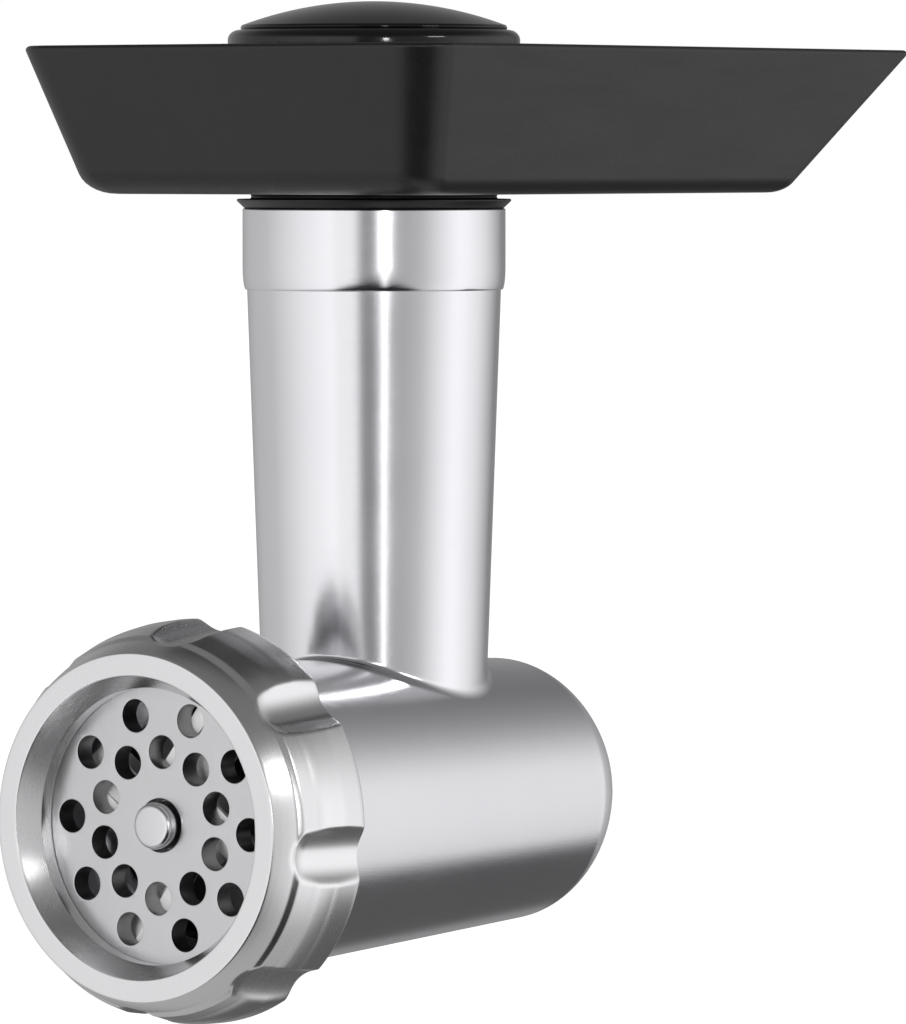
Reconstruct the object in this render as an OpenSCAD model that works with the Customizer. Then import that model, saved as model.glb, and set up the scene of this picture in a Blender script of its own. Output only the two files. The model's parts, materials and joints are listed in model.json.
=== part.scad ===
// Meat grinder attachment with a round feed tube, a feed tray and a food pusher.
// The barrel lies along Y with its outlet at -Y, and the feed tube stands along +Z.
// The origin is on the barrel axis, in the plane of the hub shoulder at the barrel's rear end.
// Parts on the barrel are drawn upright, with height measured forward from the hub shoulder,
// and along_barrel() then lays them down.

/* [Barrel] */
// Distance from the hub shoulder forward to the feed tube's axis
tube_forward = 48.1; // [45:0.1:62]
// Offset of the feed tube's axis from the barrel axis, toward -X
tube_offset = 5.2; // [0:0.1:6]
// Radius of the hub shoulder at the barrel's rear end
shoulder_r = 25.4; // [25.2:0.1:27]
// Outer radius of the barrel where its rounded rear end is over
barrel_rear_r = 29.3; // [28.5:0.1:30]
// Length of the barrel's rounded rear end
rear_len = 9; // [5:0.5:12]
// Outer radius of the barrel where the screw ring begins
barrel_front_r = 33.9; // [33.6:0.1:34.2]
// Distance from the hub shoulder forward to the rear edge of the screw ring
ring_rear = 115.5; // [112:0.5:118]
// Radius of the barrel's bore around the worm
barrel_bore_r = 25.8; // [25:0.1:26]
// Radius of the chamber that the knife turns in
chamber_r = 29.5; // [29:0.1:30]
// Number of anti-slip grooves along the bore
groove_count = 4; // [3:1:6]

/* [Feed tube] */
// Height of the tube's mouth above the barrel axis
tube_top = 130; // [120:0.2:140]
// Outer radius of the tube just under its collar
tube_top_r = 27.9; // [27.6:0.1:28.2]
// Outer radius of the tube where it meets the barrel
tube_low_r = 25.4; // [25:0.1:26]
// Radius of the tube's bore, which the pusher slides in
tube_bore_r = 22.4; // [22:0.1:23]
// Outer radius of the collar around the tube's mouth
collar_r = 28.9; // [28.6:0.1:29.4]
// Height of the collar
collar_h = 17.8; // [14:0.1:20]

/* [Hole plate] */
// Diameter of the hole plate
plate_d = 62; // [61.8:0.1:62.1]
// Thickness of the hole plate
plate_t = 5; // [4.5:0.1:5]
// Diameter of each outlet hole
hole_d = 7; // [3:0.5:7]
// Radius of the outer circle of holes
outer_hole_r = 23.9; // [23.5:0.1:24]
// Radius of the inner circle of holes
inner_hole_r = 15.6; // [15:0.1:16]
// Number of holes on each circle
holes_each = 10; // [8:1:10]
// Angle of the first outer hole, from +X toward +Z as seen from the outlet
outer_hole_start = 106; // [90:1:120]
// Angle of the first inner hole
inner_hole_start = 88; // [80:1:100]

/* [Screw ring] */
// Largest outer radius of the screw ring
ring_r = 43.2; // [43:0.1:44]
// Distance from the hub shoulder forward to the ring's front face
ring_front = 139.6; // [139:0.1:141]
// Number of grip flutes around the ring
flute_count = 8; // [6:1:10]
// Angle of the first flute
flute_start = -6.5; // [-10:0.5:10]
// Radius of the round cutter that forms a flute
flute_r = 8.3; // [7.5:0.1:9]
// Pitch of the ring's thread
thread_pitch = 4; // [3:1:4]

/* [Knife] */
// Radius that the knife's four blades reach
knife_r = 27.6; // [26:0.1:28]
// Height of the knife along the barrel
knife_h = 9; // [8:0.5:9]
// Angle of the first blade
knife_start = -37; // [-45:1:45]

/* [Worm] */
// Outer radius of the worm's flight
flight_r = 25.2; // [24:0.1:25.3]
// Advance of the flight in one turn
flight_pitch = 28; // [24:1:36]

/* [Hub] */
// Radius of the spigot that plugs into the drive unit
hub_r = 18.5; // [18:0.1:18.6]
// Length of the spigot behind the hub shoulder
hub_len = 8; // [8:0.5:10]
// Radius of the journal bore in the rear bush
bush_bore_r = 10; // [9:0.1:10]

/* [Feed tray] */
// Height of the tray's rim above the barrel axis
tray_top = 165.5; // [160:0.5:172]
// Height of the underside of the tray's floor
tray_low = 133.2; // [133:0.1:134]
// Half of the tray's width at its rim
rim_half_w = 57.3; // [55:0.1:60]
// Half of the tray's width at its floor
floor_half_w = 47.7; // [46:0.1:50]
// Distance from the tube's axis forward to the rim
rim_forward = 57.7; // [55:0.1:60]
// Distance from the tube's axis back to the rim
rim_back = 130.7; // [120:0.1:135]
// Distance from the tube's axis forward to the floor's edge
floor_forward = 46; // [44:0.2:48]
// Distance from the tube's axis back to the floor's edge
floor_back = 94.6; // [85:0.2:98]
// Wall thickness of the tray
tray_wall = 2.5; // [2:0.1:3]

/* [Pusher] */
// Radius of the pusher's shaft
pusher_r = 21.9; // [21.5:0.1:21.9]
// Radius of the pusher's head
head_r = 32.1; // [31:0.1:33]
// Height of the pusher's lower end above the barrel axis
pusher_low = 38; // [32:1:45]
// Height of the edge between the pusher's head and its cap
cap_low = 169.1; // [168.5:0.1:171]
// Rise of the cap's dome
dome_rise = 6.3; // [5:0.1:7]

/* [Hidden] */
$fn = 96;
eps = 0.01;
over = 1;

metal = [0.74, 0.74, 0.75];
steel = [0.66, 0.67, 0.69];
black = [0.11, 0.11, 0.12];

// Rear wall of the barrel and the pocket that the hub adapter sits in.
wall_t = 11;
pocket_r = shoulder_r - 1.9;
pocket_t = 5;
nose_hole_r = 14.1;
edge = 0.4;

// Front end: the plate's faces, the mouth of the barrel, and the thread's crests.
plate_front = ring_front - 8.8;
plate_back = plate_front - plate_t;
mouth = plate_front - 2.2;
seat = plate_back - 0.1;
plate_pocket_r = plate_d / 2 + 0.2;
thread_r = 35.6;
thread_len = 11;
key_r = 1.5;
key_len = 7;

// Collar step on the tube, and the counterbore for the tray's spigot.
collar_low = tube_top - collar_h;
spigot_r = 25.2;
spigot_len = 12;
counterbore_r = spigot_r + 0.2;

// Hub adapter: a flange in the rear pocket, a spigot behind it and a nose through the wall.
flange_back = 0;
gasket_t = 0.5;
flange_front = pocket_t - gasket_t;
flange_r = pocket_r - 0.1;
nose_front = 10.5;
bush_r = 12;
cavity_r = 15.4;
cavity_floor = -2.4;
bush_front = 6;
seal_gap = 0.2;
fixing_r = 21.2;
fixing_angles = [90, 210, 330];
pin_angle = 270;
pin_r = 1.5;
pin_root_r = 1.1;
pin_front = flange_front - 0.4;
pin_out = 5;
screw_r = 1.25;
screw_head_r = 2.1;
screw_head_t = 1.2;
screw_front = 10;

// Worm: journal, thrust shoulder, square tail and the bore for its stud.
journal_r = bush_bore_r - 0.05;
washer_t = 1.5;
shoulder = wall_t + washer_t + 0.05;
flight_front = ring_rear - 0.5;
core_rear_r = 11;
core_front_r = 13;
tail_side = 10;
tail_end = -4.9;
stud_shank_r = 6;
stud_shank_len = 20;
knife_back = plate_back - 0.1 - knife_h;
stud_end = ring_front - 5.5;
stud_end_r = 5;
stud_chamfer = 0.9;
knife_square = 10;
// Distance from the knife's axis to the line of each blade's cutting edge
blade_edge = 10.1;
// Width of the flat land behind each cutting edge
land_w = 3.5;

// Drive coupling behind the journal.
coupling_r = cavity_r - 0.5;
coupling_front = cavity_floor - 0.3;
coupling_back = coupling_front - 2.3;
dog_end = 0.2 - hub_len;
dog_inner_r = 9.2;
dog_depth = 4.4;
dog_width = 7;
dog_count = 3;
tail_screw_r = 3;
tail_screw_front = 8;
tail_head_r = 5.5;
tail_washer_r = 8;
tail_washer_t = 0.8;
hex_af = 4;

// Screw ring: lip that holds the plate, bevelled mouth and clear bore over the thread.
lip_back = plate_front + 0.1;
lip_front = ring_front - 5.3;
lip_r = 29.4;
mouth_r = 32.2;
face_r = 36.9;
ring_bore_r = 36;

// Pusher: stop ring on the tray's floor and a flared head.
tray_floor = tray_low + tray_wall;
stop_r = pusher_r + 4;
stop_t = 2.5;
flare_low = 156;
flare_top = 165.6;
pusher_wall = 2.4;
rim_t = 3;

// Lays an upright shape down so that its height points forward, toward the outlet.
module along_barrel() {
    rotate([90, 0, 0]) children();
}

// A solid cylinder from height low to height high.
module rod(r, low, high) {
    translate([0, 0, low]) cylinder(r = r, h = high - low);
}

// A tube from height low to height high.
module ring_of(r_out, r_in, low, high) {
    difference() {
        rod(r_out, low, high);
        rod(r_in, low - over, high + over);
    }
}

// The same shape at each listed angle, out at radius r.
module at_angles(angles, r) {
    for (a = angles) rotate([0, 0, a]) translate([r, 0, 0]) children();
}

// Outside of the barrel, with a rounded rear end and thread ridges at the front.
module barrel_outside() {
    steps = 6;
    curve = 1.2;
    rotate_extrude() polygon(concat(
        [[0, 0], [shoulder_r - edge, 0]],
        [for (i = [0 : steps]) let (s = i / steps, z = edge + s * (rear_len - edge))
            [barrel_rear_r - (barrel_rear_r - shoulder_r) * pow(1 - s, curve), z]],
        [[barrel_front_r, ring_rear], [barrel_front_r, mouth], [0, mouth]]
    ));
    for (z = [mouth - thread_len : thread_pitch : mouth - thread_pitch / 2]) {
        translate([0, 0, z]) rotate_extrude() polygon([
            [barrel_front_r - over, 0],
            [barrel_front_r, 0],
            [thread_r, thread_pitch * 0.2],
            [thread_r, thread_pitch * 0.45],
            [barrel_front_r, thread_pitch * 0.65],
            [barrel_front_r - over, thread_pitch * 0.65]
        ]);
    }
}

// Everything that is hollow inside the barrel.
module barrel_inside() {
    rod(barrel_bore_r, wall_t, seat);
    rod(chamber_r, ring_rear - 1, seat + over);
    rod(plate_pocket_r, seat, mouth + over);
    rod(nose_hole_r, 0, wall_t + over);
    rod(pocket_r, -over, pocket_t);
    at_angles([for (i = [0 : groove_count - 1]) 45 + i * 360 / groove_count], barrel_bore_r)
        rod(1.2, tube_forward, ring_rear);
    at_angles([pin_angle], plate_pocket_r) rod(key_r, mouth - key_len, mouth + over);
    at_angles(fixing_angles, fixing_r) rod(screw_r, pocket_t - over, screw_front + 0.5);
}

// Outside of the feed tube, standing on the barrel axis.
module tube_outside() {
    rotate_extrude() polygon([
        [0, 0],
        [tube_low_r - 1, 0],
        [tube_low_r, 42],
        [tube_top_r, collar_low],
        [tube_top_r, tube_top],
        [0, tube_top]
    ]);
}

module housing() {
    color(metal) difference() {
        union() {
            along_barrel() barrel_outside();
            translate([-tube_offset, -tube_forward, 0]) tube_outside();
        }
        along_barrel() barrel_inside();
        translate([-tube_offset, -tube_forward, 0]) {
            rod(tube_bore_r, 0, tube_top + over);
            rod(counterbore_r, tube_top - spigot_len - 0.5, tube_top + over);
        }
    }
}

// Sleeve around the tube's mouth, with its lower edge drawn in.
module tube_collar() {
    ease_r = collar_r - tube_top_r - 0.3;
    ease_h = 5;
    steps = 5;
    color(metal) translate([-tube_offset, -tube_forward, collar_low]) rotate_extrude() polygon(concat(
        [[tube_top_r, 0]],
        [for (i = [0 : steps]) let (a = 90 * i / steps)
            [collar_r - ease_r * (1 - sin(a)), ease_h * (1 - cos(a))]],
        [[collar_r, collar_h - 0.3], [collar_r - 0.3, collar_h], [tube_top_r, collar_h]]
    ));
}

// Dowel in the barrel's mouth that stops the hole plate turning.
module plate_key() {
    color(steel) along_barrel() at_angles([pin_angle], plate_pocket_r)
        rod(key_r, mouth - key_len, mouth - 0.2);
}

module hub_adapter() {
    color(black) along_barrel() difference() {
        union() {
            rod(hub_r, -hub_len, flange_front);
            rod(flange_r, flange_back, flange_front);
            rod(nose_hole_r - 0.1, flange_front, nose_front);
        }
        rod(bush_r, cavity_floor - eps, nose_front + over);
        rod(cavity_r, -hub_len - over, cavity_floor);
        at_angles(fixing_angles, fixing_r) {
            rod(screw_r, flange_back - over, flange_front + over);
            translate([0, 0, flange_back])
                cylinder(r1 = screw_head_r, r2 = screw_r, h = screw_head_t);
        }
        at_angles([pin_angle], fixing_r) rod(pin_root_r, flange_back - over, pin_front);
    }
}

module adapter_gasket() {
    color(black) along_barrel() difference() {
        ring_of(flange_r, nose_hole_r, flange_front, pocket_t);
        at_angles(fixing_angles, fixing_r) rod(screw_r, flange_front - over, pocket_t + over);
    }
}

// Three countersunk screws that hold the adapter to the barrel's rear wall.
module adapter_screws() {
    color(steel) along_barrel() at_angles(fixing_angles, fixing_r) difference() {
        union() {
            translate([0, 0, flange_back])
                cylinder(r1 = screw_head_r, r2 = screw_r, h = screw_head_t);
            rod(screw_r, flange_back + screw_head_t, screw_front);
        }
        for (a = [0, 90]) rotate([0, 0, a])
            translate([-1.4, -0.3, flange_back - over]) cube([2.8, 0.6, over + 0.8]);
    }
}

// Shouldered pin that keys the head to the drive unit, with a thinner root in the flange.
module locating_pin() {
    tip = 1;
    color(steel) along_barrel() at_angles([pin_angle], fixing_r) {
        rod(pin_root_r, flange_back - eps, pin_front);
        rod(pin_r, tip - pin_out, flange_back);
        translate([0, 0, -pin_out]) cylinder(r1 = pin_r - 0.6, r2 = pin_r, h = tip);
    }
}

module rear_bush() {
    color([0.72, 0.6, 0.35]) along_barrel()
        ring_of(bush_r, bush_bore_r, cavity_floor, bush_front);
}

// Shaft seal with a channel behind its lip.
module shaft_seal() {
    color(black) along_barrel() translate([0, 0, bush_front + seal_gap]) rotate_extrude() polygon([
        [bush_bore_r, 0],
        [bush_r, 0],
        [bush_r, 4],
        [bush_r - 0.6, 4],
        [bush_r - 0.8, 1.4],
        [bush_bore_r + 0.6, 1.4],
        [bush_bore_r + 0.5, 4],
        [bush_bore_r, 4]
    ]);
}

module thrust_washer() {
    color([0.85, 0.84, 0.8]) along_barrel()
        ring_of(18, bush_bore_r + 0.1, wall_t, wall_t + washer_t);
}

// Section of the flight across the axis: wide where it meets the core, narrow at its edge.
module flight_section() {
    root_half = 44;
    edge_half = 20;
    polygon(concat(
        [[0, 0]],
        [for (i = [0 : 2]) let (r = core_rear_r - 1 + i * (flight_r - core_rear_r + 1) / 2,
            a = -root_half + i * (root_half - edge_half) / 2) [r * cos(a), r * sin(a)]],
        [for (a = [-edge_half / 2 : edge_half / 2 : edge_half / 2])
            [flight_r * cos(a), flight_r * sin(a)]],
        [for (i = [2 : -1 : 0]) let (r = core_rear_r - 1 + i * (flight_r - core_rear_r + 1) / 2,
            a = root_half - i * (root_half - edge_half) / 2) [r * cos(a), r * sin(a)]]
    ));
}

module worm() {
    flight_len = flight_front - shoulder - 1;
    color(steel) along_barrel() difference() {
        union() {
            translate([0, 0, shoulder])
                cylinder(r1 = core_rear_r, r2 = core_front_r, h = knife_back - shoulder);
            rod(18, shoulder, shoulder + 2);
            rod(journal_r, cavity_floor, shoulder + eps);
            translate([-tail_side / 2, -tail_side / 2, tail_end])
                cube([tail_side, tail_side, cavity_floor - tail_end + eps]);
            translate([0, 0, shoulder + 1]) linear_extrude(
                height = flight_len, twist = 360 * flight_len / flight_pitch,
                slices = round(flight_len / flight_pitch * 16), $fn = 12) flight_section();
        }
        rod(stud_shank_r, knife_back - stud_shank_len, knife_back + over);
        rod(tail_screw_r, tail_end - over, tail_screw_front + 1);
    }
}

// Stud in the worm's nose: shank, square for the knife and round end in the plate.
module worm_stud() {
    color(steel) along_barrel() {
        rod(stud_shank_r, knife_back - stud_shank_len, knife_back);
        rotate([0, 0, knife_start]) translate([-knife_square / 2, -knife_square / 2, knife_back - eps])
            cube([knife_square, knife_square, knife_h + eps]);
        rod(stud_end_r, knife_back + knife_h - eps, stud_end - stud_chamfer);
        translate([0, 0, stud_end - stud_chamfer])
            cylinder(r1 = stud_end_r, r2 = stud_end_r - stud_chamfer, h = stud_chamfer);
    }
}

// One blade: a bar set beside the hub, with a narrow land that cuts against the plate.
module blade() {
    intersection() {
        rotate([90, 0, 90]) linear_extrude(height = knife_r) polygon([
            [0.5, 0],
            [6.5, 0],
            [blade_edge, knife_h - 1],
            [blade_edge, knife_h],
            [blade_edge - land_w, knife_h],
            [blade_edge - land_w, knife_h - 0.6],
            [0.5, knife_h - 4.4]
        ]);
        rod(knife_r, -over, knife_h + over);
    }
}

module knife() {
    hole = knife_square + 0.2;
    color(steel) along_barrel() translate([0, 0, knife_back]) rotate([0, 0, knife_start])
        difference() {
            union() {
                for (i = [0 : 3]) rotate([0, 0, i * 90]) blade();
                rod(10.5, 0, knife_h);
            }
            translate([-hole / 2, -hole / 2, -over]) cube([hole, hole, knife_h + 2 * over]);
        }
}

module drive_coupling() {
    color(black) along_barrel() difference() {
        union() {
            rod(coupling_r, coupling_back, coupling_front);
            for (i = [0 : dog_count - 1]) rotate([0, 0, i * 360 / dog_count])
                translate([dog_inner_r, -dog_width / 2, dog_end])
                    cube([dog_depth, dog_width, coupling_back - dog_end + 1]);
        }
        translate([-tail_side / 2, -tail_side / 2, coupling_back - over])
            cube([tail_side, tail_side, 6]);
    }
}

module coupling_washer() {
    color(steel) along_barrel()
        ring_of(tail_washer_r, tail_screw_r, coupling_back - tail_washer_t, coupling_back);
}

module coupling_screw() {
    head_front = coupling_back - tail_washer_t;
    color(steel) along_barrel() difference() {
        union() {
            rod(tail_head_r, dog_end, head_front);
            rod(tail_screw_r, head_front - eps, tail_screw_front);
        }
        translate([0, 0, dog_end - over]) cylinder(d = hex_af / cos(30), h = over + 1.4, $fn = 6);
    }
}

module hole_plate() {
    color(metal) along_barrel() difference() {
        rod(plate_d / 2, plate_back, plate_front);
        at_angles([for (i = [0 : holes_each - 1]) outer_hole_start + i * 360 / holes_each],
            outer_hole_r) rod(hole_d / 2, plate_back - over, plate_front + over);
        at_angles([for (i = [0 : holes_each - 1]) inner_hole_start + i * 360 / holes_each],
            inner_hole_r) rod(hole_d / 2, plate_back - over, plate_front + over);
        rod(stud_end_r + 0.7, plate_back - over, plate_front + over);
        at_angles([pin_angle], plate_pocket_r) rod(key_r + 0.1, plate_back - over, plate_front + over);
    }
}

// One flute cutter: a round bar with a ball at its front end, leaning in with the ring's slope.
module flute_cutter() {
    lean = 7.7;
    reach = 17;
    translate([ring_r + 6.1, 0, ring_rear]) rotate([0, -lean, 0]) {
        rod(flute_r, -over - 2, reach);
        translate([0, 0, reach]) sphere(r = flute_r);
    }
}

module screw_ring() {
    color(metal) along_barrel() difference() {
        rotate_extrude() polygon([
            [ring_bore_r, ring_rear],
            [ring_r - 0.6, ring_rear],
            [ring_r, ring_rear + 0.8],
            [ring_r - 0.2, ring_rear + 7.5],
            [ring_r - 1.2, ring_rear + 13.5],
            [ring_r - 3.2, ring_front - 5.6],
            [face_r + 0.1, ring_front - 0.2],
            [face_r, ring_front],
            [mouth_r, ring_front],
            [lip_r, lip_front],
            [lip_r, lip_back],
            [ring_bore_r, lip_back]
        ]);
        at_angles([for (i = [0 : flute_count - 1]) flute_start + i * 360 / flute_count], 0)
            flute_cutter();
    }
}

// Rounded block of the tray's form, made smaller on every side by inset.
module tray_form(inset, low, high) {
    front_r = 10 - inset;
    back_r = 4 - inset;
    bottom_r = 8 - inset;
    back_bottom_r = 5 - inset;
    hull() {
        for (side = [-1, 1]) {
            translate([side * (rim_half_w - 10), 10 - rim_forward, high - eps])
                cylinder(r = front_r, h = eps, $fn = 32);
            translate([side * (rim_half_w - 4), rim_back - 4, high - eps])
                cylinder(r = back_r, h = eps, $fn = 24);
            translate([side * (floor_half_w - 8), 8 - floor_forward, low + bottom_r])
                sphere(r = bottom_r, $fn = 32);
            translate([side * (floor_half_w - 5), floor_back - 5, low + back_bottom_r])
                sphere(r = back_bottom_r, $fn = 32);
        }
    }
}

module feed_tray() {
    neck_low = tray_low - 1.1;
    color(black) translate([-tube_offset, -tube_forward, 0]) difference() {
        union() {
            difference() {
                tray_form(0, tray_low, tray_top);
                tray_form(tray_wall, tray_floor, tray_top + 2 * eps);
            }
            rod(27, neck_low, tray_low + 1);
            translate([0, 0, tube_top]) cylinder(r1 = 28.5, r2 = 30.2, h = neck_low - tube_top);
            rod(spigot_r, tube_top - spigot_len, tube_top + eps);
        }
        rod(tube_bore_r, tube_top - spigot_len - over, tray_floor + over);
        rod(stop_r + 1, tray_floor, tray_floor + over);
    }
}

// Hollow shaft of the pusher, closed at its lower end.
module pusher_shaft() {
    color(black) translate([-tube_offset, -tube_forward, 0]) rotate_extrude() polygon([
        [0, pusher_low],
        [pusher_r - 1.5, pusher_low],
        [pusher_r, pusher_low + 1.5],
        [pusher_r, flare_low],
        [pusher_r - pusher_wall, flare_low],
        [pusher_r - pusher_wall, pusher_low + pusher_wall],
        [0, pusher_low + pusher_wall]
    ]);
}

// Ring on the pusher's shaft that rests on the tray's floor.
module pusher_stop() {
    color(black) translate([-tube_offset, -tube_forward, 0])
        ring_of(stop_r, pusher_r, tray_floor, tray_floor + stop_t);
}

// Flared head of the pusher, with a plain rim that its cap sits on.
module pusher_head() {
    color(black) translate([-tube_offset, -tube_forward, 0]) rotate_extrude() polygon([
        [pusher_r - pusher_wall, flare_low],
        [pusher_r, flare_low],
        [pusher_r + 1.6, flare_low + 4.5],
        [head_r - 3.5, flare_top - 2.2],
        [head_r, flare_top],
        [head_r, cap_low - 0.1],
        [head_r - 0.3, cap_low],
        [head_r - rim_t, cap_low],
        [head_r - rim_t, flare_top + 1.2],
        [pusher_r - pusher_wall, flare_low + 4]
    ]);
}

// Domed cap with a skirt that plugs into the pusher's open top.
module pusher_cap() {
    dome_base = head_r - 0.5;
    dome_r = (dome_base * dome_base + dome_rise * dome_rise) / (2 * dome_rise);
    half_angle = asin(dome_base / dome_r);
    steps = 12;
    skirt_r = head_r - rim_t - 0.1;
    skirt_h = 1.6;
    color(black) translate([-tube_offset, -tube_forward, cap_low]) rotate_extrude() polygon(concat(
        [[0, 0], [skirt_r - 2.4, 0], [skirt_r - 2.4, -skirt_h], [skirt_r, -skirt_h], [skirt_r, 0]],
        [for (i = [steps : -1 : 0]) let (a = half_angle * i / steps)
            [dome_r * sin(a), dome_rise - dome_r * (1 - cos(a))]]
    ));
}

housing();
tube_collar();
plate_key();
hub_adapter();
adapter_gasket();
adapter_screws();
locating_pin();
rear_bush();
shaft_seal();
thrust_washer();
worm();
worm_stud();
knife();
drive_coupling();
coupling_washer();
coupling_screw();
hole_plate();
screw_ring();
feed_tray();
pusher_shaft();
pusher_stop();
pusher_head();
pusher_cap();
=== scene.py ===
"""Looks of the meat grinder attachment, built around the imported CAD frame."""

import json
import math

import bmesh
import bpy
import numpy as np
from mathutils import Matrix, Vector
from mathutils.geometry import delaunay_2d_cdt


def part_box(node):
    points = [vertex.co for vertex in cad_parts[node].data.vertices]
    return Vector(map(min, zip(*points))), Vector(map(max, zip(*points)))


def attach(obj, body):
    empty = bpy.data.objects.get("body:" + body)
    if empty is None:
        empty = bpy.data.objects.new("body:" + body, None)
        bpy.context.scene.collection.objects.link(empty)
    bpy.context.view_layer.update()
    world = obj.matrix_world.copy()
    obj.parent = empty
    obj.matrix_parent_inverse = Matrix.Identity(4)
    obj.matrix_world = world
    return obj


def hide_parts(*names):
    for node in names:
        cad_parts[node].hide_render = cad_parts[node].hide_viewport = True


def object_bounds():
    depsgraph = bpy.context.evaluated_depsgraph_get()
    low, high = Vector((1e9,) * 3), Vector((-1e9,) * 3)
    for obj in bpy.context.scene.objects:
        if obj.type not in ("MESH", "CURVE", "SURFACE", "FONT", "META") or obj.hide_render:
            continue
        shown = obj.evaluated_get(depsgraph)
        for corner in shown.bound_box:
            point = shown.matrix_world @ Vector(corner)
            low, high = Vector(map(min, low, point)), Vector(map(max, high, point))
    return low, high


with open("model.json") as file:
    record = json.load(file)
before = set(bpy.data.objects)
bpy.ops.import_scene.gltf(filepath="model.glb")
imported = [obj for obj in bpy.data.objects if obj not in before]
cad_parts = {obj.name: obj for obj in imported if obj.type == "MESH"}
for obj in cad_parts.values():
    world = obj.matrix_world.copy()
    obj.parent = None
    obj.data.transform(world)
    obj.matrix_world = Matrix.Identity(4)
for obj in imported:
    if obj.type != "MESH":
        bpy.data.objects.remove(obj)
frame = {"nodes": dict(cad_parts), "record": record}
cad_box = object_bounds()

MM = 0.001


def box_mm(node):
    """Lowest and highest corner of a CAD node, in millimetres."""
    low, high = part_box(node)
    return np.array(low) / MM, np.array(high) / MM


# ---------------------------------------------------------------- sizes, in millimetres
HOUSING_LOW, HOUSING_HIGH = box_mm("housing")
COLLAR_LOW, COLLAR_HIGH = box_mm("tube_collar")
RING_LOW, RING_HIGH = box_mm("screw_ring")
PLATE_LOW, PLATE_HIGH = box_mm("hole_plate")
TRAY_LOW, TRAY_HIGH = box_mm("feed_tray")
SHAFT_LOW, SHAFT_HIGH = box_mm("pusher_shaft")
HEAD_HIGH = box_mm("pusher_head")[1]
CAP_LOW, CAP_HIGH = box_mm("pusher_cap")
WORM_HIGH = box_mm("worm")[1]
KNIFE_LOW, KNIFE_HIGH = box_mm("knife")
STUD_LOW, STUD_HIGH = box_mm("worm_stud")
KNIFE_START = -37.0     # degrees the knife and the stud's square are turned by at rest

TUBE_FORWARD = -(COLLAR_LOW[1] + COLLAR_HIGH[1]) / 2
TUBE_X = (COLLAR_LOW[0] + COLLAR_HIGH[0]) / 2
TUBE_TOP = HOUSING_HIGH[2]
MOUTH = -HOUSING_LOW[1]
RING_FRONT, RING_REAR = -RING_LOW[1], -RING_HIGH[1]
PLATE_FRONT, PLATE_BACK = -PLATE_LOW[1], -PLATE_HIGH[1]

# Barrel: a cone that widens toward the ring, with a rounded rear end.
BARREL_REAR_R, BARREL_FRONT_R = 29.3, 33.9
SHOULDER_R, REAR_LEN, SHOULDER_EDGE = 25.4, 9.0, 0.4
BARREL_BORE_R, CHAMBER_R, PLATE_POCKET_R = 25.8, 29.5, 31.2
THREAD_START, THREAD_R, THREAD_PITCH = RING_REAR + 1.1, 35.5, 4.0
WALL_T, POCKET_R, POCKET_T, NOSE_R = 11.0, SHOULDER_R - 1.9, 5.0, 14.1

# Feed tube: a cone that widens upward to the collar.
TUBE_LOW_R, TUBE_LOW_Z, TUBE_TOP_R = 25.4, 42.0, 27.9
TUBE_BORE_R, COUNTERBORE_R, COUNTERBORE_LOW = 22.4, 25.4, TUBE_TOP - 12.5
FILLET_R = 1.4

TRAY_FLOOR_LOW = 133.2

RING_R, RING_BORE_R, LIP_R = RING_HIGH[0], 36.0, 29.4
FLUTES, FLUTE_START, FLUTE_R, FLUTE_LEAN = 8, -6.5, 8.3, 7.7

# Hole plate: two rings of ten holes, each given as (first hole's angle, radius of the ring).
HOLE_RINGS = ((106, 23.9), (88, 15.6))
HOLE_R, CENTRE_HOLE_R, KEY_NOTCH_R, PLATE_BEVEL = 3.5, 5.7, 1.6, 0.28

# Worm: its flight's pitch, and the shoulder against the thrust washer.
FLIGHT_PITCH, WORM_SHOULDER = 28.0, WALL_T + 1.55

# Tray's floor: how far each side's lower corner lies from the tube's axis.
TRAY_FLOOR = {"front": 46.0, "right": 47.7, "back": 94.6, "left": 47.7}
TRAY_FILLET = {"front": 8.0, "right": 5.0, "back": 6.0, "left": 5.0}
TRAY_WALL = 2.5

# Camera: bearing from -Y toward +X and height in degrees, distance in metres, lens in mm.
CAMERA_AZIMUTH, CAMERA_ELEVATION, CAMERA_DISTANCE, CAMERA_LENS = 36.25, 2.6, 1.757, 281.7
AIM = Vector((0.0122, 0.0971 - RING_FRONT * MM, 0.0635))

STEPS = 192


# ---------------------------------------------------------------- mesh helpers
def rounded(points, segments=4):
    """Outline of (x, y, fillet) corners as a closed list of points with each corner rounded."""
    out = []
    count = len(points)
    for i, (x, y, fillet) in enumerate(points):
        p = np.array([x, y], float)
        to_last = np.array(points[i - 1][:2], float) - p
        to_next = np.array(points[(i + 1) % count][:2], float) - p
        len_last, len_next = np.linalg.norm(to_last), np.linalg.norm(to_next)
        if fillet <= 0 or min(len_last, len_next) < 1e-9:
            out.append(p)
            continue
        to_last, to_next = to_last / len_last, to_next / len_next
        half = math.acos(np.clip(to_last @ to_next, -1, 1)) / 2
        if half > math.radians(88):
            out.append(p)
            continue
        reach = min(fillet / math.tan(half), 0.49 * len_last, 0.49 * len_next)
        radius = reach * math.tan(half)
        middle = to_last + to_next
        centre = p + middle / np.linalg.norm(middle) * radius / math.sin(half)
        start, end = p + to_last * reach - centre, p + to_next * reach - centre
        turn = math.pi - 2 * half
        for k in range(segments + 1):
            t = k / segments
            arm = (math.sin((1 - t) * turn) * start + math.sin(t * turn) * end) / math.sin(turn)
            out.append(centre + arm)
    return out


def on_barrel(r, angle, forward):
    """Point at radius r and an angle from +X toward +Z, forward of the hub shoulder."""
    return np.stack([r * np.cos(angle), -forward + 0 * angle, r * np.sin(angle)], -1)


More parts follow.
